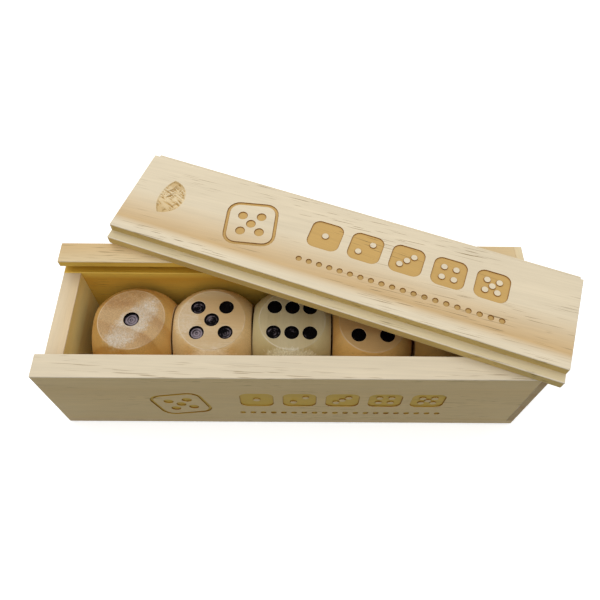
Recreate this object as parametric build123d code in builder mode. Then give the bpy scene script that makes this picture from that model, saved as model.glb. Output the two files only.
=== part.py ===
from build123d import *

import os
from math import cos, radians, sin, sqrt

# Five round-cornered wooden dice in a long glued box. The box's lid slides in two grooves when
# it is shut. Here it is off, and lies askew across the rims. Millimetres, +Z up, +X to the
# box's full-height end. The origin is the middle of the box's underside.

# Box
box_length = 178.0
box_width = 56.0
box_height = 45.2
bottom_thickness = 4.0
side_thickness = 8.8
left_end_thickness = 6.8
right_end_thickness = 5.4
end_lap = 3.0
lower_edge_radius = 1.2
rim_edge_radius = 0.4

# Groove along the inside of each long wall, where the lid's tongues slide
lip_thickness = 3.3
groove_height = 4.4
groove_depth = 4.0
left_end_drop = 0.1

# Lid, with its place and turn about the vertical as it lies on the rims
lid_upper_thickness = 3.4
tongue_thickness = 3.95
tongue_projection = 3.6
lid_side_clearance = 0.2
lid_end_clearance = 0.2
lid_edge_radius = 0.3
lid_centre_x = 18.1
lid_centre_y = 19.9
lid_turn = -20.0
lid_gap = 0.05

# Thumb notch near the lid's left end: a chord across the lid with an arc on each side
notch_inset = 14.0
notch_half_length = 8.2
notch_end_bulge = 2.8
notch_middle_bulge = 7.7
notch_shift = 1.0
notch_depth = 1.1

# Dice
die_size = 30.0
die_flat_radius = 12.65
pip_radius = 2.8
single_pip_radius = 3.0
pip_depth = 1.0
pip_spacing = 5.4
six_pip_spacing = 6.85

# Top, front and right-hand face of each die, its place in the box, and its small turn in degrees
dice = [
    ((1, 2, 3), (-60.9, 0.8), 0.3),
    ((5, 1, 3), (-30.4, 0.8), 0.9),
    ((6, 5, 3), (0.2, 1.0), -1.3),
    ((4, 2, 1), (30.8, 0.1), -0.8),
    ((3, 2, 6), (62.0, 0.2), 0.4),
]

# Engraved ornament: a large turned die face in outline, a row of five small filled ones, and a
# row of beads
engraving_depth = 0.4
face_line = 1.3
face_corner_share = 0.25
large_face_size = 20.0
large_face_x = -36.0
large_face_turn = 14.0
small_face_size = 12.4
small_face_pitch = 15.8
small_face_count = 5
small_face_row = (24.0, 4.5)
bead_radius = 1.15
bead_pitch = 3.95
bead_count = 20
bead_row = (24.0, -8.5)
front_ornament_place = (-5.0, 20.6)

# Values that follow from the ones above
left_x = -box_length / 2
side_length = box_length - end_lap
inner_width = box_width - 2 * side_thickness
groove_roof_z = box_height - lip_thickness
groove_floor_z = groove_roof_z - groove_height
wall_height = box_height - bottom_thickness
left_end_height = groove_floor_z - left_end_drop - bottom_thickness
lid_length = box_length - right_end_thickness - lid_end_clearance
lid_upper_width = inner_width - 2 * lid_side_clearance
lid_width = lid_upper_width + 2 * tongue_projection
lid_thickness = tongue_thickness + lid_upper_thickness
die_sphere_radius = sqrt(die_flat_radius**2 + (die_size / 2) ** 2)


def save(piece, name):
    """Labels a finished piece and writes it as its own STEP file."""
    piece.part.label = name
    export_step(piece.part, f"parts/{name}.step")


def pip_size(value):
    """Radius of the pips on a face that shows value: a lone pip is larger."""
    return single_pip_radius if value == 1 else pip_radius


def pip_places(value):
    """Pip centres on a face that shows value, about the face's middle."""
    if value == 6:
        return [(x * six_pip_spacing, y * pip_spacing) for x in (-1, 0, 1) for y in (-1, 1)]
    corners = [(-1, -1), (1, 1), (-1, 1), (1, -1)][: value - value % 2]
    middle = [(0, 0)] * (value % 2)
    return [(x * pip_spacing, y * pip_spacing) for x, y in corners + middle]


def face_pips(size, value, mode):
    """Draws the pips of a die face of the given size into the current sketch."""
    scale = size / die_size
    with Locations(*[(x * scale, y * scale) for x, y in pip_places(value)]):
        Circle(pip_size(value) * scale, mode=mode)


def outlined_face(size, value):
    """Draws a die face as an outline with sunk pips into the current sketch."""
    inside = size - 2 * face_line
    corner = size * face_corner_share
    RectangleRounded(size, size, corner)
    RectangleRounded(inside, inside, corner - face_line, mode=Mode.SUBTRACT)
    face_pips(size, value, Mode.ADD)


def filled_face(size, value):
    """Draws a die face as a sunk square with standing pips into the current sketch."""
    RectangleRounded(size, size, size * face_corner_share)
    face_pips(size, value, Mode.SUBTRACT)


def ornament():
    """Draws the whole engraved ornament into the current sketch."""
    with Locations(Location((large_face_x, 0, 0), (0, 0, large_face_turn))):
        outlined_face(large_face_size, 5)
    row_x, row_y = small_face_row
    for index in range(small_face_count):
        with Locations((row_x + (index - (small_face_count - 1) / 2) * small_face_pitch, row_y)):
            filled_face(small_face_size, index + 1)
    with Locations(bead_row):
        with GridLocations(bead_pitch, bead_pitch, bead_count, 1):
            Circle(bead_radius)


def wall_section(side):
    """Draws a long wall's section, its groove opening inwards. side is 1 at the back, -1 in front."""
    outer = side * box_width / 2
    inner = side * inner_width / 2
    deep = inner + side * groove_depth
    Polygon(
        (outer, bottom_thickness),
        (outer, box_height),
        (inner, box_height),
        (inner, groove_roof_z),
        (deep, groove_roof_z),
        (deep, groove_floor_z),
        (inner, groove_floor_z),
        (inner, bottom_thickness),
        align=None,
    )


os.makedirs("parts", exist_ok=True)

# Bottom panel, under all four walls, its lower edges eased
with BuildPart() as bottom_panel:
    with BuildSketch(Plane.XY):
        Rectangle(box_length, box_width)
    extrude(amount=bottom_thickness)
    fillet(bottom_panel.faces().sort_by(Axis.Z)[0].edges(), lower_edge_radius)
save(bottom_panel, "bottom_panel")

# Back wall, short of the box's right end by the end wall's lap
with BuildPart() as back_wall:
    with BuildSketch(Plane.YZ.offset(left_x)):
        wall_section(1)
    extrude(amount=side_length)
    fillet(back_wall.edges().filter_by(Axis.X).group_by(Axis.Z)[-1], rim_edge_radius)
save(back_wall, "back_wall")

# Front wall, the back wall's mirror image, with the ornament engraved in its outside
with BuildPart() as front_wall:
    with BuildSketch(Plane.YZ.offset(left_x)):
        wall_section(-1)
    extrude(amount=side_length)
    fillet(front_wall.edges().filter_by(Axis.X).group_by(Axis.Z)[-1], rim_edge_radius)
    with BuildSketch(Plane.XZ.offset(box_width / 2)):
        with Locations(front_ornament_place):
            ornament()
    extrude(amount=-engraving_depth, mode=Mode.SUBTRACT)
save(front_wall, "front_wall")

# Left end wall, between the long walls, lower than their grooves so that the lid passes over it
with BuildPart() as left_end_wall:
    with BuildSketch(Plane.XY.offset(bottom_thickness)):
        with Locations((left_x + left_end_thickness / 2, 0)):
            Rectangle(left_end_thickness, inner_width)
    extrude(amount=left_end_height)
save(left_end_wall, "left_end_wall")

# Right end wall, full height, between the long walls and lapped over their ends
with BuildPart() as right_end_wall:
    with BuildSketch(Plane.XY.offset(bottom_thickness)):
        with Locations((-left_x - right_end_thickness / 2, 0)):
            Rectangle(right_end_thickness, inner_width)
        with Locations((-left_x - end_lap / 2, 0)):
            Rectangle(end_lap, box_width)
    extrude(amount=wall_height)
    across_top = right_end_wall.edges().group_by(Axis.Z)[-1].filter_by(Axis.Y)
    fillet(across_top.sort_by(Axis.X)[-1], rim_edge_radius)
save(right_end_wall, "right_end_wall")

# Lid: one board with a tongue along each long edge, a thumb notch and the ornament on top
up = Vector(0, 0, 1)
lid_along = Vector(cos(radians(lid_turn)), sin(radians(lid_turn)), 0)
lid_across = up.cross(lid_along)
lid_seat = Vector(lid_centre_x, lid_centre_y, box_height + lid_gap)
lid_section = Plane(lid_seat - lid_along * (lid_length / 2), x_dir=lid_across, z_dir=lid_along)
lid_top = Plane(lid_seat + up * lid_thickness, x_dir=lid_along, z_dir=up)
with BuildPart() as lid:
    with BuildSketch(lid_section):
        with Locations((0, tongue_thickness / 2)):
            Rectangle(lid_width, tongue_thickness)
        with Locations((0, lid_thickness / 2)):
            Rectangle(lid_upper_width, lid_thickness)
    extrude(amount=lid_length)
    fillet(lid.faces().sort_by(Axis.Z)[-1].edges(), lid_edge_radius)
    with BuildSketch(lid_top):
        with BuildLine():
            chord_x = notch_inset - lid_length / 2
            low_tip = (chord_x, notch_shift - notch_half_length)
            high_tip = (chord_x, notch_shift + notch_half_length)
            ThreePointArc(low_tip, (chord_x + notch_middle_bulge, notch_shift), high_tip)
            ThreePointArc(high_tip, (chord_x - notch_end_bulge, notch_shift), low_tip)
        make_face()
    extrude(amount=-notch_depth, mode=Mode.SUBTRACT)
    with BuildSketch(lid_top):
        ornament()
    extrude(amount=-engraving_depth, mode=Mode.SUBTRACT)
save(lid, "lid")

# Dice: a cube rounded by a sphere, with a drilled pip at each point; opposite faces add to seven
for number, ((top, front, right), (centre_x, centre_y), turn) in enumerate(dice, start=1):
    centre = Vector(centre_x, centre_y, bottom_thickness + die_size / 2)
    ahead = Vector(cos(radians(turn)), sin(radians(turn)), 0)
    across = up.cross(ahead)
    faces = [
        (top, up, ahead),
        (7 - top, -up, ahead),
        (front, -across, ahead),
        (7 - front, across, -ahead),
        (right, ahead, across),
        (7 - right, -ahead, -across),
    ]
    with BuildPart(Plane(centre, x_dir=ahead, z_dir=up)) as die:
        Box(die_size, die_size, die_size)
        Sphere(die_sphere_radius, mode=Mode.INTERSECT)
        for value, outward, x_dir in faces:
            with BuildSketch(Plane(centre + outward * (die_size / 2), x_dir=x_dir, z_dir=outward)):
                with Locations(*pip_places(value)):
                    Circle(pip_size(value))
            extrude(amount=-pip_depth, mode=Mode.SUBTRACT)
    save(die, f"die_{number}")
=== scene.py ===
import random
from itertools import zip_longest
from math import asin, atan, atan2, cos, exp, hypot, pi, radians, sin, sqrt, tau

import bmesh
import bpy
from mathutils import Matrix, Vector
from mathutils.geometry import delaunay_2d_cdt


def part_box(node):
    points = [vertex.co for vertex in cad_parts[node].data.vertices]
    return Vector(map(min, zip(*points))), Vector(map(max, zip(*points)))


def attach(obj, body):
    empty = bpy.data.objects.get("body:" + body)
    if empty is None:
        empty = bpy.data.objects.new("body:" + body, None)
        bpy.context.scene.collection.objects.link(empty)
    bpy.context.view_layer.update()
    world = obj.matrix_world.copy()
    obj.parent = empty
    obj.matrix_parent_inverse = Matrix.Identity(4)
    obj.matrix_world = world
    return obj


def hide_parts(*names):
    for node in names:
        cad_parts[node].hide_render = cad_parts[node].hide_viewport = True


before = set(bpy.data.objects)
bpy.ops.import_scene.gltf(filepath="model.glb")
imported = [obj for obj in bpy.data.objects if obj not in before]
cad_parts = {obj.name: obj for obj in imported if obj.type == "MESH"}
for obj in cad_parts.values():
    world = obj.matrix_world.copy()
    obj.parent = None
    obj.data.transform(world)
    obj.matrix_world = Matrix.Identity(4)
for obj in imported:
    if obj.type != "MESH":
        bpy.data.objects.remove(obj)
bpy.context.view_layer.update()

# Lengths are in metres, in the frame's axes: +X along the box, +Y to its back, +Z up.
MM = 0.001
X, Y, Z = Vector((1, 0, 0)), Vector((0, 1, 0)), Vector((0, 0, 1))

# Box and lid
GROOVE_HEIGHT = 4.4 * MM
GROOVE_DEPTH = 4.0 * MM
LIP_THICKNESS = 3.3 * MM
END_LAP = 3.0 * MM
LOWER_EDGE_RADIUS = 1.2 * MM
EDGE_RADIUS = 0.35 * MM
JOINT_RADIUS = 0.12 * MM
LID_TURN = radians(-20.0)
LID_LENGTH = 172.4 * MM
LID_WIDTH = 45.2 * MM
TONGUE_THICKNESS = 3.95 * MM
TONGUE_PROJECTION = 3.6 * MM

# Thumb notch in the lid's top, placed from the lid's middle. Its floor is a shallow bowl with sloping banks
# and is crossed by slashes; a slash's angle is drawn about one of four middles, with a spread, in degrees
NOTCH_CHORD_X = -72.2 * MM
NOTCH_SHIFT = 1.0 * MM
NOTCH_HALF_LENGTH = 8.2 * MM
NOTCH_END_BULGE = 2.8 * MM
NOTCH_MIDDLE_BULGE = 7.7 * MM
NOTCH_TEAR = 0.13 * MM
NOTCH_DEPTH = 0.4 * MM
NOTCH_LEAST_DEPTH = 0.06 * MM
NOTCH_MOST_DEPTH = 0.8 * MM
NOTCH_BANK = 0.8 * MM
NOTCH_ROWS = 160
NOTCH_COLUMNS = 100
NOTCH_SEED = 11
TIP_GOLD = 0.6
SLASH_COUNT = 70
SLASH_DEPTH = 0.42 * MM
SLASH_AREA = (-2.6 * MM, 7.2 * MM), (-7.6 * MM, 7.6 * MM)
SLASH_HALF_LENGTH = 1.0 * MM, 3.4 * MM
SLASH_BREADTH = 0.2 * MM, 0.34 * MM
SLASH_ANGLES = (56, 14), (-26, 14), (-26, 14), (-26, 14)

# Dice
DIE_SIZE = 30.0 * MM
DIE_FLAT_RADIUS = 12.65 * MM
DIE_ARRIS = 0.65 * MM
DIE_STEPS = 96
PIP_RADIUS = 2.8 * MM
SINGLE_PIP_RADIUS = 3.0 * MM
PIP_DEPTH = 1.0 * MM
PIP_SPACING = 5.4 * MM
SIX_PIP_SPACING = 6.85 * MM
PIP_CHAMFER = 0.16 * MM
PIP_WALL_LEAN = 0.06 * MM
PIP_STEPS = 40
PIP_FLOOR_ROWS = 28
DRILL_RIDGE = 0.06 * MM
DRILL_PITCH = 0.95 * MM
DRILL_MIDDLE_SHARE = 0.82
DRILL_EDGE_SHARE = 0.9

# Engraved ornament
ENGRAVING_DEPTH = 0.4 * MM
# An engraving's margin this wide is darkened, charred by the laser and in painted shade
SCORCH_AND_SHADE_WIDTH = 0.36 * MM
FACE_LINE = 1.3 * MM
FACE_CORNER_SHARE = 0.25
LARGE_FACE_SIZE = 20.0 * MM
LARGE_FACE_PLACE = Vector((-36.0, 0)) * MM
LARGE_FACE_TURN = radians(14.0)
SMALL_FACE_SIZE = 12.4 * MM
SMALL_FACE_PITCH = 15.8 * MM
SMALL_FACE_COUNT = 5
SMALL_FACE_ROW = Vector((24.0, 4.5)) * MM
BEAD_RADIUS = 1.15 * MM
BEAD_PITCH = 3.95 * MM
BEAD_COUNT = 20
BEAD_ROW = Vector((24.0, -8.5)) * MM
CORNER_STEPS = 5
SMALL_PIP_STEPS = 20
BEAD_STEPS = 12
FRONT_ORNAMENT_PLACE = Vector((-5.0, 20.6)) * MM

# ------------------------------------------------------------------------------------ camera

CAMERA_DISTANCE = 246.2 * MM
CAMERA_ELEVATION = radians(59.515)
CAMERA_AZIMUTH = radians(0.84)
CAMERA_ROLL = radians(1.148)
CAMERA_LENS = 35.93
CAMERA_AIM = Vector((3.28, 16.77, 22.0)) * MM
CAMERA_NEAR = 10.0 * MM


def add_camera():
    """A camera in front of the box and well above it, looking down at CAMERA_AIM."""
    flat = cos(CAMERA_ELEVATION)
    ahead = Vector((sin(CAMERA_AZIMUTH) * flat, cos(CAMERA_AZIMUTH) * flat, -sin(CAMERA_ELEVATION)))
    level = Vector((cos(CAMERA_AZIMUTH), -sin(CAMERA_AZIMUTH), 0))
    right = level * cos(CAMERA_ROLL) + level.cross(ahead) * sin(CAMERA_ROLL)
    data = bpy.data.cameras.new("camera")
    data.lens = CAMERA_LENS
    data.clip_start = CAMERA_NEAR
    camera = bpy.data.objects.new("camera", data)
    turn = as_axes(right, right.cross(ahead), -ahead)
    camera.matrix_world = Matrix.Translation(CAMERA_AIM - ahead * CAMERA_DISTANCE) @ turn
    bpy.context.scene.collection.objects.link(camera)
    bpy.context.scene.camera = camera


def as_axes(first, second, third):
    """A rotation that takes X, Y and Z to three axes."""
    return Matrix((first, second, third)).transposed().to_4x4()


# ------------------------------------------------------------------------------------ node helpers


def add(tree, kind, inputs=None, **settings):
    """Adds a node, sets its settings, and links or sets its inputs."""
    node = tree.nodes.new(kind)
    for key, value in settings.items():
        setattr(node, key, value)
    for key, value in (inputs or {}).items():
        if isinstance(value, bpy.types.NodeSocket):
            tree.links.new(value, node.inputs[key])
        else:
            node.inputs[key].default_value = value
    return node


def calc(tree, operation, first, second=0.0, clamp=False):
    """A math node's result."""
    inputs = {0: first, 1: second}
    return add(tree, "ShaderNodeMath", inputs, operation=operation, use_clamp=clamp).outputs[0]


def blend(tree, factor, low, high):
    """Two colours mixed by a factor."""
    return add(tree, "ShaderNodeMix", {0: factor, 6: low, 7: high}, data_type="RGBA").outputs[2]


def tint(tree, colour, by):
    """A colour multiplied by another one."""
    inputs = {0: 1.0, 6: colour, 7: by}
    return add(tree, "ShaderNodeMix", inputs, data_type="RGBA", blend_type="MULTIPLY").outputs[2]


def ramp(tree, factor, *stops):
    """A grey value read off (position, value) stops."""
    node = add(tree, "ShaderNodeValToRGB", {0: factor})
    elements = node.color_ramp.elements
    elements[0].position, elements[1].position = stops[0][0], stops[-1][0]
    for position, _ in stops[1:-1]:
        elements.new(position)
    for element, (_, value) in zip(elements, stops):
        element.color = (value, value, value, 1)
    return node.outputs[0]


def noise(tree, place, scale, detail=2.0, roughness=0.5):
    """Noise at a place, with scale features to the unit on each axis."""
    stretched = add(tree, "ShaderNodeVectorMath", {0: place, 1: scale}, operation="MULTIPLY").outputs[0]
    inputs = {"Vector": stretched, "Scale": 1.0, "Detail": detail, "Roughness": roughness}
    return add(tree, "ShaderNodeTexNoise", inputs).outputs[0]


def srgb(colour):
    """A display colour from 0 to 255 as a linear one."""
    return tuple(((c / 255 + 0.055) / 1.055) ** 2.4 if c > 10 else c / 255 / 12.92 for c in colour) + (1,)


def read(tree, name):
    """A mesh attribute's number."""
    return add(tree, "ShaderNodeAttribute", attribute_name=name).outputs["Fac"]


def millimetres(tree):
    """The place in the wood, in millimetres, its X along the fibres."""
    grain = add(tree, "ShaderNodeAttribute", attribute_name="grain").outputs["Vector"]
    return add(tree, "ShaderNodeVectorMath", {0: grain, "Scale": 1 / MM}, operation="SCALE").outputs[0]


def new_material(name):
    """A material with nothing but its shader, with its tree and that shader."""
    material = bpy.data.materials.new(name)
    material.use_nodes = True
    tree = material.node_tree
    tree.nodes.clear()
    shader = add(tree, "ShaderNodeBsdfPrincipled")
    add(tree, "ShaderNodeOutputMaterial", {"Surface": shader.outputs[0]})
    return material, tree, shader


def add_bump(tree, shader, height, distance, strength):
    """Bumps the shader's surface by a height."""
    inputs = {"Strength": strength, "Distance": distance, "Height": height}
    tree.links.new(add(tree, "ShaderNodeBump", inputs).outputs[0], shader.inputs["Normal"])


# ------------------------------------------------------------------------------------ materials

WOOD_RELIEF = 0.06 * MM
PAINT_RELIEF = 0.05 * MM


def growth_rings(tree, place, ring, phase, lean, curve, early, wander):
    """Late wood, from 0 to 1, in layers a ring apart that lean in the board, curve, and wander along it. A
    ring starts with its share of early wood, darkens slowly after it and ends sharply."""
    parts = add(tree, "ShaderNodeSeparateXYZ", {0: place}).outputs
    drift = calc(tree, "SUBTRACT", noise(tree, place, (0.011, 0.05, 0.05), 1.5), 0.5)
    drift = calc(tree, "MULTIPLY", drift, wander)
    bow = calc(tree, "DIVIDE", calc(tree, "MULTIPLY", parts[1], parts[1]), curve)
    across = calc(tree, "MULTIPLY", parts[1], cos(radians(lean)))
    upward = calc(tree, "MULTIPLY", parts[2], sin(radians(lean)))
    layer = calc(tree, "ADD", calc(tree, "ADD", across, upward), calc(tree, "ADD", drift, bow))
    turns = calc(tree, "FRACT", calc(tree, "ADD", calc(tree, "DIVIDE", layer, ring), phase))
    late = [(0.0, 0.05), (0.54, 0.75), (0.79, 1.0), (0.91, 0.3), (1.0, 0.0)]
    stops = [(early + (1 - early) * share, value) for share, value in late]
    return ramp(tree, turns, (0.0, 0.0), *stops)


def patch_of(tree, centre, turn, reach):
    """1 at a centre in the piece, 0 outside a ragged ellipsoid about it that is turned about Z."""
    place = add(tree, "ShaderNodeAttribute", attribute_name="place").outputs["Vector"]
    inputs = {
        "Vector": place,
        "Location": Vector(centre) * MM,
        "Rotation": (0, 0, radians(turn)),
        "Scale": Vector(reach) * MM,
    }
    about = add(tree, "ShaderNodeMapping", inputs, vector_type="TEXTURE").outputs[0]
    far = add(tree, "ShaderNodeVectorMath", {0: about}, operation="LENGTH").outputs["Value"]
    ragged = calc(tree, "SUBTRACT", noise(tree, millimetres(tree), (0.3, 0.9, 0.9), 4, 0.7), 0.5)
    edge = calc(tree, "ADD", far, calc(tree, "MULTIPLY", ragged, 1.1))
    return ramp(tree, edge, (0.66, 1.0), (0.98, 0.0))


def with_patches(tree, place, colour, patches):
    """A colour tinted in speckled patches: painted sheen, painted highlights and painted reflected light,
    some over end grain with wear. Each has a centre, a turn, a reach and a tint.
    """
    if not patches:
        return colour
    speckle = ramp(tree, noise(tree, place, (1.3, 1.3, 1.3), 3, 0.8), (0.4, 0.45), (0.6, 1.0))
    for centre, turn, reach, tone in patches:
        sheen_shade_and_wear = calc(tree, "MULTIPLY", patch_of(tree, centre, turn, reach), speckle)
        colour = blend(tree, sheen_shade_and_wear, colour, tint(tree, colour, tuple(tone) + (1,)))
    return colour


def resin_dashes(tree, place, share):
    """Short dashes along the fibres, in clusters, each as strong as its share."""
    cluster = ramp(tree, noise(tree, place, (0.02, 0.09, 0.09), 2), (0.49, 0.0), (0.6, 1.0))
    dash = ramp(tree, noise(tree, place, (0.075, 2.6, 2.6), 1.0), (0.64, 0.0), (0.7, 1.0))
    return calc(tree, "MULTIPLY", calc(tree, "MULTIPLY", dash, cluster), share)


def wood(
    name, pale, late, ring=18.0, phase=0.0, lean=0.0, curve=200.0, early=0.35, wander=9.0, ring_share=1.0,
    faint=0.45, dashes=0.7, runout=2.5, end=(0.93, 0.86, 0.76), fuzz=0.25, flank=(1, 1, 1), edge_wear_and_highlight=0.25,
    roughness=0.6, coat=0.0, deep=None, patches=(),
):
    """Wood, bare or lacquered. ring to wander shape the growth rings, ring_share is their strength, and
    faint is how much of it stays where they are weakest. dashes is the strength of the resin dashes, and
    runout the angle of the fibres to the board. end tints the end grain, and fuzz is how much its cut fibres
    darken it. flank tints a die's round sides as painted reflected light, and edge_wear_and_highlight is how
    pale the edges are, wear with a painted highlight. deep is the colour where the mesh's ridge attribute is
    high: a charred cut, and painted shade where a cut is low or walled. patches are those of with_patches."""
    material, tree, shader = new_material(name)
    place = millimetres(tree)
    along_fibres = {"Vector": place, "Rotation": (0, 0, radians(runout))}
    turned = add(tree, "ShaderNodeMapping", along_fibres).outputs[0]

    # growth rings, strong in some stretches and faint in others
    stretch = noise(tree, place, (0.016, 0.06, 0.06), 2)
    strength = ramp(tree, stretch, (0.35, faint * ring_share), (0.65, ring_share))
    rings = growth_rings(tree, place, ring, phase, lean, curve, early, wander)
    colour = blend(tree, calc(tree, "MULTIPLY", rings, strength), srgb(pale), srgb(late))

    # mottling, wide streaks, single fibres and short dark resin dashes
    mottle = ramp(tree, noise(tree, turned, (0.03, 0.12, 0.12), 3, 0.6), (0.3, 0.93), (0.7, 1.0))
    streaks = ramp(tree, noise(tree, turned, (0.012, 0.55, 0.55), 3, 0.6), (0.3, 0.94), (0.7, 1.0))
    fibre = noise(tree, turned, (0.05, 2.4, 2.4), 4, 0.65)
    fibres = ramp(tree, fibre, (0.3, 0.93), (0.65, 1.0))
    colour = tint(tree, tint(tree, tint(tree, colour, mottle), streaks), fibres)
    dash = resin_dashes(tree, turned, dashes)
    colour = blend(tree, dash, colour, srgb([c * 0.7 for c in late]))

    # end grain is deeper and fuzzy with cut fibres, and a round side is tinted as painted reflected light
    ended = read(tree, "end_grain")
    cut = noise(tree, place, (0.5, 3.2, 3.2), 3, 0.75)
    cut_tone = ramp(tree, cut, (0.4, 1 - fuzz), (0.64, 1.0))
    colour = blend(tree, ended, colour, tint(tree, tint(tree, colour, tuple(end) + (1,)), cut_tone))
    colour = blend(tree, read(tree, "flank"), colour, tint(tree, colour, tuple(flank) + (1,)))
    colour = with_patches(tree, place, colour, patches)

    # an arris is painted pale here and there, wear with a painted highlight; a cut is dark where it is
    # charred, and where it is low or walled as painted shade
    patchy = ramp(tree, noise(tree, place, (0.1, 0.1, 0.1), 3), (0.4, 0.1), (0.6, 1.0))
    worn_and_lit_edge = calc(tree, "MULTIPLY", read(tree, "arris"), patchy)
    paler = srgb([c + (255 - c) * 0.35 for c in pale])
    colour = blend(tree, calc(tree, "MULTIPLY", worn_and_lit_edge, edge_wear_and_highlight), colour, paler)
    if deep:
        colour = blend(tree, read(tree, "ridge"), colour, srgb(deep))
    tree.links.new(colour, shader.inputs["Base Color"])

    rough = calc(tree, "ADD", calc(tree, "MULTIPLY", fibre, 0.24), roughness - 0.12)
    rough = calc(tree, "SUBTRACT", rough, calc(tree, "MULTIPLY", worn_and_lit_edge, 0.12))
    tree.links.new(rough, shader.inputs["Roughness"])
    shader.inputs["Specular IOR Level"].default_value = 0.3
    shader.inputs["Coat Weight"].default_value = coat
    shader.inputs["Coat Roughness"].default_value = 0.25
    relief = calc(tree, "SUBTRACT", fibre, calc(tree, "MULTIPLY", dash, 0.8))
    relief = calc(tree, "ADD", relief, calc(tree, "MULTIPLY", calc(tree, "MULTIPLY", ended, cut), 1.2))
    relief = calc(tree, "ADD", relief, calc(tree, "MULTIPLY", noise(tree, place, (3.0, 5.0, 5.0)), 0.3))
    add_bump(tree, shader, relief, WOOD_RELIEF, 0.6)
    return material


def pip_paint():
    """Black paint in the drilled pips, thinned to grey where the mesh's ridge attribute is high."""
    material, tree, shader = new_material("pip_paint")
    place = millimetres(tree)
    patch = noise(tree, place, (0.35, 0.35, 0.35), 4, 0.65)
    kept = calc(tree, "MULTIPLY", ramp(tree, patch, (0.35, 0.0), (0.65, 1.0)), 0.8)
    thin = calc(tree, "SUBTRACT", calc(tree, "MULTIPLY", read(tree, "ridge"), 1.5), kept, True)
    tree.links.new(blend(tree, thin, srgb((4, 2, 3)), srgb((142, 130, 138))), shader.inputs["Base Color"])
    tree.links.new(calc(tree, "ADD", calc(tree, "MULTIPLY", patch, 0.3), 0.45), shader.inputs["Roughness"])
    shader.inputs["Specular IOR Level"].default_value = 0.06
    add_bump(tree, shader, noise(tree, place, (5, 5, 5), 3), PAINT_RELIEF, 0.7)
    return material


def paper():
    """White studio paper, part of whose light is its own, so that shadows on it stay pale."""
    material, tree, shader = new_material("studio_paper")
    tooth = noise(tree, add(tree, "ShaderNodeTexCoord").outputs["Object"], (60, 60, 60), 4, 0.6)
    colour = blend(tree, tooth, srgb((247, 247, 246)), srgb((252, 252, 251)))
    tree.links.new(colour, shader.inputs["Base Color"])
    shader.inputs["Roughness"].default_value = 0.9
    shader.inputs["Specular IOR Level"].default_value = 0.0
    shader.inputs["Emission Color"].default_value = (1, 1, 1, 1)
    shader.inputs["Emission Strength"].default_value = 0.45
    return material


# ------------------------------------------------------------------------------------ mesh helpers

# Kinds of face: those of planes are shaded flat, and the others smooth
PLANE_KINDS = ["flat", "inner", "outer", "groove", "floor", "wall"]
KINDS = PLANE_KINDS + ["arris", "notch", "paint", "rim", "round"]
ARC_STEPS = 4
SHARP_ANGLE = radians(34)
WELD_DISTANCE = 0.0008 * MM
SLIVER_LENGTH = 0.0004 * MM


class Shell:
    """Faces gathered in a piece's own axes. Each has a kind, and each of their points a ridge value."""

    def __init__(self):
        self.points = []
        self.ridges = []
        self.faces = []
        self.kinds = []

    def polygon(self, points, kind, ridges=None):
        """Adds one face."""
        start = len(self.points)
        self.points += [Vector(p) for p in points]
        self.ridges += ridges or [0.0] * len(points)
        self.faces.append(range(start, start + len(points)))
        self.kinds.append(kind)

    def grid(self, rows, kind, closed=False, ridges=None):
        """Joins rows of points with quads; a closed row's last point joins its first."""
        start, width = len(self.points), len(rows[0])
        for number, row in enumerate(rows):
            self.points += [Vector(p) for p in row]
            self.ridges += ridges[number] if ridges else [0.0] * width
        for r in range(len(rows) - 1):
            for c in range(width if closed else width - 1):
                here, beside = start + r * width + c, start + r * width + (c + 1) % width
                self.faces.append((here, beside, beside + width, here + width))
                self.kinds.append(kind)


def smooth_step(low, high, value):
    """0 below low, 1 above high, and a smooth rise between them."""
    share = min(max((value - low) / (high - low), 0.0), 1.0)
    return share * share * (3 - 2 * share)


def welded(shell):
    """The shell's faces as a closed bmesh, with the kind of each face."""
    work = bmesh.new()
    kind_layer = work.faces.layers.int.new("kind")
    ridge_layer = work.verts.layers.float.new("ridge")
    made = [work.verts.new(p) for p in shell.points]
    for vert, ridge in zip(made, shell.ridges):
        vert[ridge_layer] = ridge
    for corners, kind in zip(shell.faces, shell.kinds):
        work.faces.new([made[i] for i in corners])[kind_layer] = KINDS.index(kind)
    bmesh.ops.remove_doubles(work, verts=work.verts, dist=WELD_DISTANCE)
    bmesh.ops.dissolve_degenerate(work, edges=work.edges, dist=SLIVER_LENGTH)
    bmesh.ops.recalc_face_normals(work, faces=work.faces)
    return work, [KINDS[face[kind_layer]] for face in work.faces]


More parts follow.
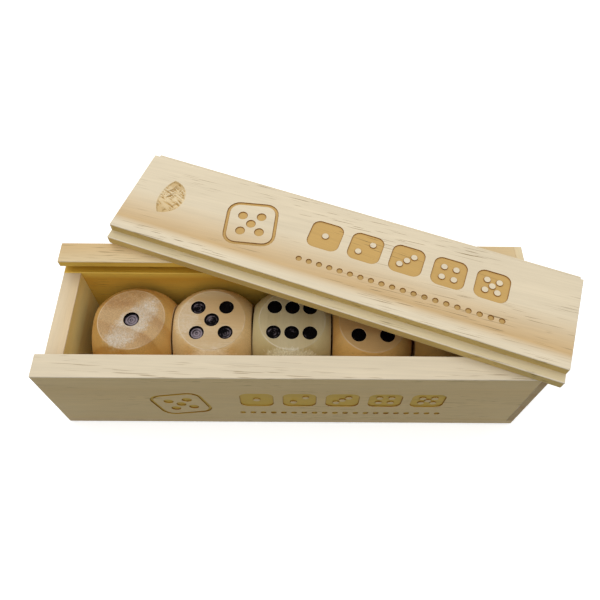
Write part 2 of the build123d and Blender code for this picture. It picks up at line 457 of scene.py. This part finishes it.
def make_piece(shell, node, body, materials, place=Matrix(), fibres=Matrix(), offset=(0, 0, 0)):
    """Makes the shell one mesh that stands for a node. place takes the shell's axes to the frame's, fibres
    takes them to the wood's, whose X runs along the fibres, and offset is the piece's place in its wood.
    materials holds a material for each kind of face; other kinds get that of "flat"."""
    work, kinds = welded(shell)
    names = list(dict.fromkeys(m.name for m in materials.values()))
    for face, kind in zip(work.faces, kinds):
        face.smooth = kind not in PLANE_KINDS
        face.material_index = names.index(materials.get(kind, materials["flat"]).name)
    for edge in work.edges:
        edge.smooth = edge.is_manifold and edge.calc_face_angle() < SHARP_ANGLE
    turn = fibres.to_3x3()
    grain, own, ended = [], [], []
    for vert in work.verts:
        grain += list(fibres @ vert.co + Vector(offset))
        own += list(vert.co)
    for face, kind in zip(work.faces, kinds):
        for vert in face.verts:
            outward = vert.co.normalized() if kind == "round" else face.normal
            ended.append(smooth_step(0.5, 0.85, abs((turn @ outward).x)))
    work.transform(place)
    mesh = bpy.data.meshes.new(node + "_wood")
    work.to_mesh(mesh)
    work.free()
    for name in names:
        mesh.materials.append(bpy.data.materials[name])
    mesh.attributes.new("grain", "FLOAT_VECTOR", "POINT").data.foreach_set("vector", grain)
    mesh.attributes.new("place", "FLOAT_VECTOR", "POINT").data.foreach_set("vector", own)
    mesh.attributes.new("end_grain", "FLOAT", "CORNER").data.foreach_set("value", ended)
    # arris marks edges and pip rims painted pale, wear with a painted highlight; flank marks round sides
    # tinted as painted reflected light
    for name, chosen in (("arris", ("arris", "rim")), ("flank", ("round",))):
        values = [float(kind in chosen) for kind in kinds]
        mesh.attributes.new(name, "FLOAT", "FACE").data.foreach_set("value", values)
    piece = bpy.data.objects.new(node + "_wood", mesh)
    bpy.context.scene.collection.objects.link(piece)
    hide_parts(node)
    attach(piece, body)


def section_outline(corners, radii, inset):
    """A board's section, from its anticlockwise square corners, drawn in by inset. An outward corner is an
    arc, an inward one a point. Gives the points, and whether an arc goes on from each."""
    points, on_arc = [], []
    for i, (corner, radius) in enumerate(zip(corners, radii)):
        here = Vector(corner)
        before = (here - Vector(corners[i - 1])).normalized()
        after = (Vector(corners[(i + 1) % len(corners)]) - here).normalized()
        inward = Vector((-before.y, before.x)), Vector((-after.y, after.x))
        if before.cross(after) < 0:
            points.append(here + (inward[0] + inward[1]) * inset)
            on_arc.append(False)
            continue
        centre = here + (inward[0] + inward[1]) * max(radius, inset)
        reach = max(radius - inset, 0)
        for step in range(ARC_STEPS + 1):
            angle = step / ARC_STEPS * pi / 2
            points.append(centre - (inward[0] * cos(angle) + inward[1] * sin(angle)) * reach)
            on_arc.append(step < ARC_STEPS)
    return points, on_arc


def board(
    shell, corners, radii, start, stop,
    end_radii=(EDGE_RADIUS, EDGE_RADIUS), sides=None, ends=("flat", "flat"), open_side=None,
):
    """A board of one section from start to stop along X, with its edges eased. sides gives the kind of each
    corner's next side. open_side is one that is left open for an engraved panel, and its corners are given
    back."""
    stations = []
    for end, radius, inward in ((start, end_radii[0], 1), (stop, end_radii[1], -1)):
        arc = [step / ARC_STEPS * pi / 2 for step in range(ARC_STEPS + 1)]
        eased = [(end + inward * radius * (1 - cos(a)), radius * (1 - sin(a))) for a in arc]
        stations += eased if inward > 0 else eased[::-1]
    rows = []
    for x, inset in stations:
        outline, on_arc = section_outline(corners, radii, inset)
        rows.append([Vector((x, p.x, p.y)) for p in outline])
    starts = [i for i, arc in enumerate(on_arc) if not arc]
    sides = sides or ["flat"] * len(starts)
    kinds = dict(zip(starts, sides))
    # an edge between two sides that are inside the box is of the inner kind, and isn't painted pale with
    # wear and a highlight
    within, corner = [], 0
    for c, arc in enumerate(on_arc):
        within.append(arc and {sides[corner], sides[corner - 1]} <= {"inner", "groove"})
        corner += not arc
    opening = None
    for r, (row, following) in enumerate(zip(rows, rows[1:])):
        for c, arc in enumerate(on_arc):
            after = (c + 1) % len(row)
            quad = (row[c], row[after], following[after], following[c])
            if r != ARC_STEPS or arc:
                shell.polygon(quad, "inner" if within[c] else "arris")
            elif open_side is not None and c == starts[open_side]:
                opening = quad
            else:
                shell.polygon(quad, kinds[c])
    shell.polygon(rows[0], ends[0])
    shell.polygon(rows[-1], ends[1])
    return opening


def circle(centre, radius, steps):
    """A circle's points."""
    angles = [i * tau / steps for i in range(steps)]
    return [Vector(centre) + Vector((cos(angle), sin(angle))) * radius for angle in angles]


def rounded_square(centre, size, radius, turn):
    """A square with round corners about a centre, turned by an angle."""
    points = []
    for quarter in range(4):
        corner = Matrix.Rotation(quarter * pi / 2, 2) @ Vector((1, 1)) * (size / 2 - radius)
        for step in range(CORNER_STEPS + 1):
            angle = (quarter + step / CORNER_STEPS) * pi / 2
            points.append(corner + Vector((cos(angle), sin(angle))) * radius)
    return [Vector(centre) + Matrix.Rotation(turn, 2) @ p for p in points]


def is_inside(point, loop):
    """Whether a point lies inside a closed loop."""
    odd = False
    for a, b in zip(loop, loop[1:] + loop[:1]):
        if (a.y > point.y) != (b.y > point.y):
            if point.x < a.x + (point.y - a.y) / (b.y - a.y) * (b.x - a.x):
                odd = not odd
    return odd


# Points of a panel closer than this are one, in millimetres
MERGE_DISTANCE = 1e-5


def panel(shell, outline, sunk, gaps, to_place, kind="flat"):
    """A flat panel within an outline, left open at the gaps. Each sunk pair is the outline of an engraved
    area and the line that its darkened margin reaches, charred by the laser and in painted shade, and an
    outline inside another one brings the wood back up. to_place takes a point of the panel and a depth to
    the shell's axes."""
    cuts = [cut for cut, _ in sunk]
    rings = [outline] + cuts + [margin for _, margin in sunk] + gaps
    verts, edges = [], []
    for ring in rings:
        first = len(verts)
        verts += [v / MM for v in ring]
        edges += [(first + i, first + (i + 1) % len(ring)) for i in range(len(ring))]
    scorched_and_shaded = range(len(outline), len(outline) + sum(len(c) for c in cuts))
    flat, _, triangles, sources, _, _ = delaunay_2d_cdt(verts, edges, [], 0, MERGE_DISTANCE)
    flat = [Vector(v) * MM for v in flat]
    burnt_and_shaded = [float(any(s in scorched_and_shaded for s in source)) for source in sources]
    for triangle in triangles:
        middle = sum((flat[i] for i in triangle), Vector((0, 0))) / 3
        if any(is_inside(middle, gap) for gap in gaps) or not is_inside(middle, outline):
            continue
        if sum(is_inside(middle, cut) for cut in cuts) % 2:
            points = [to_place(flat[i], ENGRAVING_DEPTH) for i in triangle]
            shell.polygon(points, "floor", [burnt_and_shaded[i] for i in triangle])
        else:
            shell.polygon([to_place(flat[i], 0) for i in triangle], kind)
    # the cut's walls are dark all round: charred, with painted shade
    for cut in cuts:
        rows = [[to_place(p, depth) for p in cut] for depth in (0, ENGRAVING_DEPTH)]
        shell.grid(rows, "wall", True, [[1.0] * len(cut)] * 2)


# ------------------------------------------------------------------------------------ ornament


def pip_places(value):
    """Pip centres on a face that shows value, about the face's middle."""
    if value == 6:
        return [Vector((x * SIX_PIP_SPACING, y * PIP_SPACING)) for x in (-1, 0, 1) for y in (-1, 1)]
    corners = [(-1, -1), (1, 1), (-1, 1), (1, -1)][: value - value % 2]
    return [Vector(place) * PIP_SPACING for place in corners + [(0, 0)] * (value % 2)]


def pip_size(value):
    """Radius of the pips on a face that shows value: a lone pip is larger."""
    return SINGLE_PIP_RADIUS if value == 1 else PIP_RADIUS


def square_cut(centre, size, inset, turn, way):
    """A rounded square drawn in by inset, and the line of its margin, charred and in painted shade, way 1
    inside it, -1 outside.
    """
    lines = []
    for drawn_in in (inset, inset + way * SCORCH_AND_SHADE_WIDTH):
        corner = size * FACE_CORNER_SHARE - drawn_in
        lines.append(rounded_square(centre, size - 2 * drawn_in, corner, turn))
    return lines


def disc_cut(centre, radius, steps, way):
    """A disc and the line of its margin, charred and in painted shade, way 1 inside it, -1 outside."""
    margin = way * min(SCORCH_AND_SHADE_WIDTH, radius / 2)
    return circle(centre, radius, steps), circle(centre, radius - margin, steps)


def face_pips(centre, size, value, turn, way):
    """The pips of an engraved die face, way 1 where they are sunk, -1 where they stand."""
    scale = size / DIE_SIZE
    places = [centre + Matrix.Rotation(turn, 2) @ place * scale for place in pip_places(value)]
    return [disc_cut(place, pip_size(value) * scale, SMALL_PIP_STEPS, way) for place in places]


def outlined_face(centre, size, value, turn):
    """A die face engraved as its line and its pips."""
    line = [square_cut(centre, size, 0, turn, 1), square_cut(centre, size, FACE_LINE, turn, -1)]
    return line + face_pips(centre, size, value, turn, 1)


def filled_face(centre, size, value):
    """A die face engraved all over, its pips left standing."""
    return [square_cut(centre, size, 0, 0, 1)] + face_pips(centre, size, value, 0, -1)


def ornament(middle):
    """The ornament about a place: a large turned die face in outline, a row of small filled ones, beads."""
    pairs = outlined_face(middle + LARGE_FACE_PLACE, LARGE_FACE_SIZE, 5, LARGE_FACE_TURN)
    for index in range(SMALL_FACE_COUNT):
        step = Vector(((index - (SMALL_FACE_COUNT - 1) / 2) * SMALL_FACE_PITCH, 0))
        pairs += filled_face(middle + SMALL_FACE_ROW + step, SMALL_FACE_SIZE, index + 1)
    for index in range(BEAD_COUNT):
        step = Vector(((index - (BEAD_COUNT - 1) / 2) * BEAD_PITCH, 0))
        pairs.append(disc_cut(middle + BEAD_ROW + step, BEAD_RADIUS, BEAD_STEPS, 1))
    return pairs


# ------------------------------------------------------------------------------------ box

PINE_PALE = (234, 218, 187)
PINE_LATE = (218, 186, 136)
# The golden inside colours are painted reflected light, warm light bouncing between the walls
INSIDE_PALE = (244, 206, 92)
INSIDE_LATE = (228, 176, 66)
# The groove's darker, browner gold is painted shade under the lip
GROOVE = (214, 168, 50), (196, 142, 34)
ENGRAVED_LATE_SHARE = 0.9
# An engraving's margin and walls are darkened by these shares: charred by the laser, with painted shade in
# the cut
SCORCH_AND_SHADE_SHARES = (0.7, 0.56, 0.3)


def pine(name, rings, engraved=None, inside=(INSIDE_PALE, INSIDE_LATE), face=None, groove=None, **look):
    """A pine board's materials. engraved is the colour of its engraving's floor. inside holds the pale and
    late colours of its sides in the box, groove those of its groove, and face those of its outer side. These
    copies of the wood carry painted light: inside is golden with painted reflected light, groove is darker
    with painted shade, and face is warmer and darker with painted shade."""
    look = {"pale": PINE_PALE, "late": PINE_LATE} | look
    found = {"flat": wood(name, **look, **rings)}
    for kind, colours in (("inner", inside), ("outer", face), ("groove", groove)):
        if colours:
            tones = dict(pale=colours[0], late=colours[1])
            found[kind] = wood(f"{name}_{kind}", **(look | tones), **rings)
    if engraved:
        late = [c * ENGRAVED_LATE_SHARE for c in engraved]
        scorched_and_shaded = [c * share for c, share in zip(engraved, SCORCH_AND_SHADE_SHARES)]
        found["floor"] = wood(name + "_engraved", engraved, late, dashes=1.0, deep=scorched_and_shaded, **rings)
        found["wall"] = found["floor"]
    return found


def long_wall_section(side, low, high):
    """A long wall's corners in the Y, Z plane, their radii and the kinds of their next sides, anticlockwise;
    side is 1 at the back."""
    outer, inner = (high.y, low.y) if side > 0 else (low.y, high.y)
    deep = inner + side * GROOVE_DEPTH
    roof = high.z - LIP_THICKNESS
    ground = roof - GROOVE_HEIGHT
    corners = [(outer, low.z), (outer, high.z), (inner, high.z), (inner, roof)]
    corners += [(deep, roof), (deep, ground), (inner, ground), (inner, low.z)]
    radii = [JOINT_RADIUS, EDGE_RADIUS, EDGE_RADIUS, EDGE_RADIUS, 0, 0, EDGE_RADIUS, JOINT_RADIUS]
    kinds = ["outer", "flat", "inner", "groove", "groove", "groove", "inner"]
    if side > 0:
        return corners, radii, kinds + ["flat"]
    return corners[::-1], radii[::-1], kinds[::-1] + ["flat"]


def add_back_wall():
    """The back wall, its groove opening to the front."""
    low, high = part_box("back_wall")
    shell = Shell()
    corners, radii, kinds = long_wall_section(1, low, high)
    board(shell, corners, radii, low.x, high.x, (EDGE_RADIUS, JOINT_RADIUS), kinds)
    rings = dict(ring=21, phase=0.35, lean=70)
    materials = pine("back_pine", rings, groove=GROOVE, pale=(234, 215, 174), late=(216, 179, 121))
    make_piece(shell, "back_wall", "box", materials, offset=(0.4, 0.02, 0))


def add_front_wall():
    """The front wall, its groove opening to the back, with the ornament in its outer side."""
    low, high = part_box("front_wall")
    shell = Shell()
    corners, radii, kinds = long_wall_section(-1, low, high)
    outside = kinds.index("outer")
    eased = (EDGE_RADIUS, JOINT_RADIUS)
    opening = board(shell, corners, radii, low.x, high.x, eased, kinds, open_side=outside)
    outline = [Vector((p.x, p.z)) for p in opening]
    sunk = ornament(FRONT_ORNAMENT_PLACE)
    panel(shell, outline, sunk, [], lambda p, depth: (p.x, low.y + depth, p.y), "outer")
    rings = dict(ring=26, phase=0.1, lean=60, ring_share=0.3)
    # its outer side is a warmer, darker copy of the wood, and its engraving a deeper gold: painted shade on
    # a side that faces away from the light
    face = (225, 201, 148), (212, 180, 118)
    materials = pine("front_pine", rings, (216, 182, 78), face=face, groove=GROOVE, pale=(228, 213, 184))
    make_piece(shell, "front_wall", "box", materials)


def add_bottom_panel():
    """The bottom panel, built upwards so that all its lower edges get their radius."""
    low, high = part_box("bottom_panel")
    shell = Shell()
    corners = [(low.x, low.y), (high.x, low.y), (high.x, high.y), (low.x, high.y)]
    radii = [EDGE_RADIUS] * 4
    board(shell, corners, radii, low.z, high.z, (LOWER_EDGE_RADIUS, JOINT_RADIUS), ends=("flat", "inner"))
    materials = pine("bottom_pine", dict(ring=24, phase=0.6, lean=10), pale=(224, 202, 154))
    make_piece(
        shell, "bottom_panel", "box", materials,
        place=as_axes(Z, X, Y), fibres=as_axes(Z, X, Y), offset=(0.9, 0, 0),
    )


def add_left_end_wall():
    """The left end wall, a board along Y between the long walls."""
    low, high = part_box("left_end_wall")
    shell = Shell()
    corners = [(low.z, low.x), (high.z, low.x), (high.z, high.x), (low.z, high.x)]
    radii = [JOINT_RADIUS, EDGE_RADIUS, EDGE_RADIUS, JOINT_RADIUS]
    kinds = ["flat", "flat", "inner", "flat"]
    board(shell, corners, radii, low.y, high.y, (JOINT_RADIUS, JOINT_RADIUS), kinds)
    # brighter gold on its inner side: painted reflected light
    inside = (253, 235, 164), (246, 216, 134)
    materials = pine("left_end_pine", dict(ring=19, phase=0.2, lean=35), inside=inside)
    make_piece(
        shell, "left_end_wall", "box", materials,
        place=as_axes(Y, Z, X), offset=(1.3, 0.03, 0),
    )


def add_right_end_wall():
    """The right end wall, between the long walls and lapped over their ends, its fibres along Y."""
    low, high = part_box("right_end_wall")
    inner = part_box("left_end_wall")[1].y
    lap = high.x - END_LAP
    corners = [(low.x, -inner), (lap, -inner), (lap, low.y), (high.x, low.y)]
    corners += [(x, -y) for x, y in corners[::-1]]
    radii = [JOINT_RADIUS, 0, JOINT_RADIUS, EDGE_RADIUS] + [EDGE_RADIUS, JOINT_RADIUS, 0, JOINT_RADIUS]
    kinds = ["flat"] * 7 + ["inner"]
    shell = Shell()
    board(shell, corners, radii, low.z, high.z, (JOINT_RADIUS, EDGE_RADIUS), kinds)
    # its end grain is tinted much darker than its own deeper colour: painted shade where the front corner
    # turns away from the light
    look = dict(pale=(236, 217, 177), late=(222, 190, 138), end=(0.68, 0.6, 0.46))
    materials = pine("right_end_pine", dict(ring=17, phase=0.8, lean=50), **look)
    make_piece(
        shell, "right_end_wall", "box", materials,
        place=as_axes(Z, X, Y), fibres=as_axes(Y, Z, X), offset=(1.7, 0.05, 0),
    )


# ------------------------------------------------------------------------------------ lid


def notch_arc(bulge, share):
    """A place on an arc over the notch's chord: how far out of the chord, and how far along it."""
    radius = (NOTCH_HALF_LENGTH**2 + bulge**2) / (2 * bulge)
    angle = (2 * share - 1) * asin(NOTCH_HALF_LENGTH / radius)
    return radius * cos(angle) - (radius - bulge), radius * sin(angle)


def notch_sides(draw):
    """The notch's two sides, as lists of points: towards the lid's end, and ragged towards its middle."""
    end_side, middle_side = [], []
    torn = 0.0
    for row in range(NOTCH_ROWS + 1):
        share = row / NOTCH_ROWS
        out, along = notch_arc(NOTCH_END_BULGE, share)
        end_side.append(Vector((NOTCH_CHORD_X - out, NOTCH_SHIFT + along)))
        out, along = notch_arc(NOTCH_MIDDLE_BULGE, share)
        torn = torn * 0.6 + draw.uniform(-NOTCH_TEAR, NOTCH_TEAR)
        middle_side.append(Vector((NOTCH_CHORD_X + out + torn * sin(share * pi), NOTCH_SHIFT + along)))
    return end_side, middle_side


def draw_slashes(draw):
    """The notch's slashes, about its chord's middle: each one's centre, way, half length and breadth."""
    slashes = []
    for number in range(SLASH_COUNT):
        centre = Vector([draw.uniform(*span) for span in SLASH_AREA])
        angle = radians(draw.gauss(*SLASH_ANGLES[number % len(SLASH_ANGLES)]))
        half = draw.uniform(*SLASH_HALF_LENGTH)
        breadth = draw.uniform(*SLASH_BREADTH)
        slashes.append((centre, Vector((cos(angle), sin(angle))), half, breadth))
    return slashes


def slashed_depth(about, slashes):
    """The notch's depth at a place about its chord's middle. A slash is low on one side, lifted on the
    other."""
    depth = NOTCH_DEPTH
    for centre, way, half, breadth in slashes:
        along = (about - centre).dot(way)
        aside = (about - centre).cross(way) / breadth
        if abs(along) < half and abs(aside) < 3:
            depth += SLASH_DEPTH * (1 - (along / half) ** 2) * aside * exp(-aside * aside)
    return min(max(depth, NOTCH_LEAST_DEPTH), NOTCH_MOST_DEPTH)


def add_notch(shell, sides, slashes, top):
    """The notch's rough floor between its sides, darker gold towards its two tips, and darker where it is
    low as painted shade.
    """
    middle = Vector((NOTCH_CHORD_X, NOTCH_SHIFT))
    rows, ridges = [], []
    for number, (near, far) in enumerate(zip(*sides)):
        row, shade_and_gold = [], []
        tip = TIP_GOLD * smooth_step(0.2, 0.75, abs(2 * number / NOTCH_ROWS - 1))
        width = (far - near).length
        for column in range(NOTCH_COLUMNS + 1):
            share = column / NOTCH_COLUMNS
            place = near.lerp(far, share)
            bank = smooth_step(0, NOTCH_BANK, min(share, 1 - share) * width)
            depth = slashed_depth(place - middle, slashes) * bank
            row.append((place.x, place.y, top - depth))
            # darker where it is deep, as painted shade, and towards the tips
            shade_and_gold.append(max(smooth_step(0.75, 1.7, depth / NOTCH_DEPTH), tip))
        rows.append(row)
        ridges.append(shade_and_gold)
    shell.grid(rows, "notch", ridges=ridges)


def add_lid():
    """The lid, in axes of its own: X along it, Y across it, and Z up from its seat."""
    low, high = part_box("lid")
    top = high.z - low.z
    tongue = LID_WIDTH / 2
    upper = tongue - TONGUE_PROJECTION
    corners = [(-tongue, 0), (tongue, 0), (tongue, TONGUE_THICKNESS), (upper, TONGUE_THICKNESS)]
    corners += [(upper, top), (-upper, top), (-upper, TONGUE_THICKNESS), (-tongue, TONGUE_THICKNESS)]
    radii = [EDGE_RADIUS, EDGE_RADIUS, EDGE_RADIUS, 0] + [EDGE_RADIUS, EDGE_RADIUS, 0, EDGE_RADIUS]
    shell = Shell()
    # the lid's "inner" sides are its edges, golden with painted shade and painted reflected light, and its
    # "outer" side is the front tongue's top, darker with painted shade
    kinds = ["flat", "inner", "flat", "inner", "flat", "inner", "outer", "inner"]
    opening = board(shell, corners, radii, -LID_LENGTH / 2, LID_LENGTH / 2, sides=kinds, open_side=4)
    outline = [Vector((p.x, p.y)) for p in opening]
    draw = random.Random(NOTCH_SEED)
    sides = notch_sides(draw)
    edge = sides[0] + sides[1][-2:0:-1]
    panel(shell, outline, ornament(Vector((0, 0))), [edge], lambda p, depth: (p.x, p.y, top - depth))
    add_notch(shell, sides, draw_slashes(draw), top)
    rings = dict(ring=60, early=0.68, phase=0.698, lean=180, wander=2.5, faint=0.9)
    look = dict(pale=(236, 221, 191), late=(214, 181, 130), runout=-3.5, dashes=1.0)
    edges = (221, 193, 120), (208, 174, 98)
    tongue_top = (221, 204, 164), (206, 180, 130)
    materials = pine("lid_pine", rings, (212, 172, 101), inside=edges, face=tongue_top, **look)
    # its deep colour darkens the notch where it is low, as painted shade, and towards its tips
    materials["notch"] = wood("lid_notch", (241, 221, 181), (230, 201, 149), deep=(188, 152, 84), fuzz=0.3)
    middle = (low + high) / 2
    seat = Matrix.Translation((middle.x, middle.y, low.z)) @ Matrix.Rotation(LID_TURN, 4, "Z")
    make_piece(shell, "lid", "lid", materials, place=seat)


# ------------------------------------------------------------------------------------ dice

# Wear of a pip's paint where none is given
COMMON_WEAR = 0.2

# Top, front and right-hand face of each die, its turn in the row, the way its fibres run, the wear of its
# top pips' paint, and its wood. Each patch is its centre from the die's, its turn, its reach and its tint,
# in millimetres and degrees; the patches are painted sheen, painted highlights and painted reflected light,
# and flank tints the round sides as painted reflected light
DICE = [
    ((1, 2, 3), 0.3, "up", [0.95], dict(
        pale=(206, 168, 113), late=(188, 143, 85), end=(1, 1, 1), flank=(1.1, 1.02, 0.7),
        patches=[
            # speckled end grain paled to a whitish band: painted sheen
            ((0.4, -2.4, 15), 53, (15, 6.3, 3), (1.26, 1.74, 3.3)),
            # darker and more golden at the back of the top: painted reflected light from the back wall
            ((-4.0, 9.4, 15), 20, (11, 5.2, 3), (0.78, 0.64, 0.4)),
        ],
    )),
    ((5, 1, 3), 0.9, "along", [0.9, 0.1, 0.35, 0.45, 0.4], dict(
        pale=(207, 180, 134), late=(192, 154, 98), flank=(1.3, 1.33, 1.3),
        patches=[
            # paler on the left of the top: painted highlight
            ((-10.5, 1.0, 15), 0, (6.5, 9.5, 3), (1.15, 1.34, 1.9)),
            # paler at the front of the top, so that its back stays golden: painted reflected light
            ((1.0, -7.5, 15), 0, (13, 6, 3), (1.06, 1.14, 1.35)),
            # paler speckles on the front round side: painted sheen
            ((0, -16.0, 12), 0, (14, 5, 6), (1.25, 1.36, 1.8)),
        ],
    )),
    ((6, 5, 3), -1.3, "across", [0.35, 0.04, 0.2, 0.04, 0.15, 0.04], dict(
        pale=(193, 177, 136), late=(180, 160, 114), flank=(1.14, 1.16, 1.08),
        # paler speckles on the front round side: end grain with wear, and painted sheen
        patches=[((0, -16.0, 12.5), 0, (16, 5, 6), (1.7, 2.0, 3.0))],
    )),
    ((4, 2, 1), -0.8, "along", [0.1] * 4, dict(
        pale=(216, 176, 116), late=(200, 152, 90), flank=(1.14, 1.1, 0.85),
    )),
    ((3, 2, 6), 0.4, "across", [], dict(pale=(214, 174, 112), late=(196, 148, 84), flank=(1.1, 1.08, 0.8))),
]
FIBRES = {
    "along": Matrix(),
    "across": as_axes(Y, Z, X).transposed(),
    "up": as_axes(Z, X, Y).transposed(),
}


def add_pip(shell, centre, size, wear, to_place):
    """A drilled pip: its rim, painted pale as wear with a highlight, its wall, and a floor with the drill's
    ridges.
    wear, from 0 to 1, is how much its paint has thinned, mostly on the ridges."""
    def ring(radius, depth):
        return [to_place(p, depth) for p in circle(centre, radius, PIP_STEPS)]

    rim = [(size + PIP_CHAMFER, 0), (size + PIP_CHAMFER * 0.3, PIP_CHAMFER * 0.3), (size, PIP_CHAMFER)]
    shell.grid([ring(*place) for place in rim], "rim", closed=True)
    rows, ridges = [ring(*rim[-1])], [[0.0] * PIP_STEPS]
    for step in range(PIP_FLOOR_ROWS):
        radius = (size - PIP_WALL_LEAN) * (1 - step / PIP_FLOOR_ROWS)
        ripple = cos(radius / DRILL_PITCH * tau)
        drilled = DRILL_MIDDLE_SHARE + (DRILL_EDGE_SHARE - DRILL_MIDDLE_SHARE) * radius / size
        rows.append(ring(radius, PIP_DEPTH * drilled - DRILL_RIDGE * ripple))
        # the paint has pooled round the floor's edge, and stays black there
        bare_share = 1 - smooth_step(0.72, 0.94, radius / size)
        ridges.append([wear * bare_share * (0.75 + 0.25 * ripple)] * PIP_STEPS)
    shell.grid(rows, "paint", True, ridges)
    shell.polygon(rows[-1], "paint", ridges[-1])


def add_die_face(shell, value, outward, along, wears=()):
    """One of a die's six flats with its pips, its arris, and its share of the round corners. wears holds the
    wear of each pip's paint; without it they all have the common wear."""
    across = outward.cross(along)
    half = DIE_SIZE / 2
    sphere = hypot(half, DIE_FLAT_RADIUS)

    def to_place(point, depth=0.0):
        return along * point.x + across * point.y + outward * (half - depth)

    # the arris is an arc that touches the flat and the sphere
    height = half - DIE_ARRIS
    reach = sqrt((sphere - DIE_ARRIS) ** 2 - height**2)
    pips = pip_places(value)
    size = pip_size(value)
    gaps = [circle(place, size + PIP_CHAMFER, PIP_STEPS) for place in pips]
    panel(shell, circle((0, 0), reach, DIE_STEPS), [], gaps, to_place)
    for place, wear in zip_longest(pips, wears, fillvalue=COMMON_WEAR):
        add_pip(shell, place, size, wear, to_place)
    lean = atan2(height, reach)
    rows = []
    for step in range(ARC_STEPS + 1):
        angle = pi / 2 + (lean - pi / 2) * step / ARC_STEPS
        ring = circle((0, 0), reach + DIE_ARRIS * cos(angle), DIE_STEPS)
        rows.append([to_place(p, DIE_ARRIS * (1 - sin(angle))) for p in ring])
    shell.grid(rows, "arris", closed=True)

    # the sphere goes on to the planes halfway to the neighbouring faces
    rows = [[] for _ in range(ARC_STEPS + 1)]
    for number in range(DIE_STEPS):
        turn = number * tau / DIE_STEPS
        far = atan(1 / max(abs(cos(turn)), abs(sin(turn))))
        for step, row in enumerate(rows):
            tilt = pi / 2 - lean + (far - pi / 2 + lean) * step / ARC_STEPS
            sideways = along * cos(turn) + across * sin(turn)
            row.append((sideways * sin(tilt) + outward * cos(tilt)) * sphere)
    shell.grid(rows, "round", closed=True)


def add_die(number, values, turn, run, wears, look, paint):
    """A die in axes of its own about its centre. Opposite faces add to seven."""
    top, front, right = values
    shell = Shell()
    add_die_face(shell, top, Z, X, wears)
    add_die_face(shell, 7 - top, -Z, X)
    add_die_face(shell, front, -Y, X)
    add_die_face(shell, 7 - front, Y, -X)
    add_die_face(shell, right, X, Y)
    add_die_face(shell, 7 - right, -X, -Y)
    node = f"die_{number}"
    low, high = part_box(node)
    place = Matrix.Translation((low + high) / 2) @ Matrix.Rotation(radians(turn), 4, "Z")
    rings = dict(ring=9 + number, phase=0.2 * number, lean=40 + 25 * number, curve=60)
    lacquered = dict(roughness=0.5, coat=0.12, dashes=0.35, fuzz=0.3, edge_wear_and_highlight=0.6)
    materials = {"flat": wood(node + "_maple", **rings, **lacquered, **look), "paint": paint}
    offset = (0.3 * number, 0, 0)
    make_piece(shell, node, node, materials, place, FIBRES[run], offset)


# ------------------------------------------------------------------------------------ studio

SKY_OVERHEAD = 1.2
SKY_AROUND = 0.08
LAMP_SIZE = 0.5
LAMP_PLACE = Vector((-0.5, 0.65, 0.85))
LAMP_POWER = 2.2
FLOOR_SIZE = 4.0
FLOOR_CELLS = 8


def add_sky():
    """Soft light that comes mostly from overhead; the camera sees it as plain white."""
    world = bpy.data.worlds.new("studio")
    bpy.context.scene.world = world
    world.use_nodes = True
    tree = world.node_tree
    tree.nodes.clear()
    direction = add(tree, "ShaderNodeTexCoord").outputs["Generated"]
    upward = add(tree, "ShaderNodeSeparateXYZ", {0: direction}).outputs[2]
    overhead = calc(tree, "MULTIPLY", calc(tree, "MAXIMUM", upward, 0.0), SKY_OVERHEAD)
    strength = calc(tree, "ADD", overhead, SKY_AROUND)
    seen = add(tree, "ShaderNodeLightPath").outputs["Is Camera Ray"]
    strength = calc(tree, "MAXIMUM", strength, seen)
    background = add(tree, "ShaderNodeBackground", {"Color": (1, 1, 1, 1), "Strength": strength})
    add(tree, "ShaderNodeOutputWorld", {"Surface": background.outputs[0]})


def add_lamp():
    """A large soft lamp above and behind the box."""
    data = bpy.data.lights.new("lamp", "AREA")
    data.size = LAMP_SIZE
    data.energy = LAMP_POWER
    lamp = bpy.data.objects.new("lamp", data)
    facing = LAMP_PLACE.to_track_quat("Z", "Y").to_matrix().to_4x4()
    lamp.matrix_world = Matrix.Translation(LAMP_PLACE) @ facing
    bpy.context.scene.collection.objects.link(lamp)


def add_floor():
    """A sheet of paper under the box. It sends no light back up, so the box's sides stay in shade."""
    work = bmesh.new()
    bmesh.ops.create_grid(work, x_segments=FLOOR_CELLS, y_segments=FLOOR_CELLS, size=FLOOR_SIZE / 2)
    mesh = bpy.data.meshes.new("floor")
    work.to_mesh(mesh)
    work.free()
    mesh.materials.append(paper())
    sheet = bpy.data.objects.new("floor", mesh)
    sheet.visible_diffuse = False
    bpy.context.scene.collection.objects.link(sheet)


add_camera()
add_sky()
add_lamp()
add_floor()
bpy.context.scene.view_settings.view_transform = "Standard"
add_bottom_panel()
add_back_wall()
add_front_wall()
add_left_end_wall()
add_right_end_wall()
add_lid()
paint = pip_paint()
for number, die in enumerate(DICE, start=1):
    add_die(number, *die, paint)
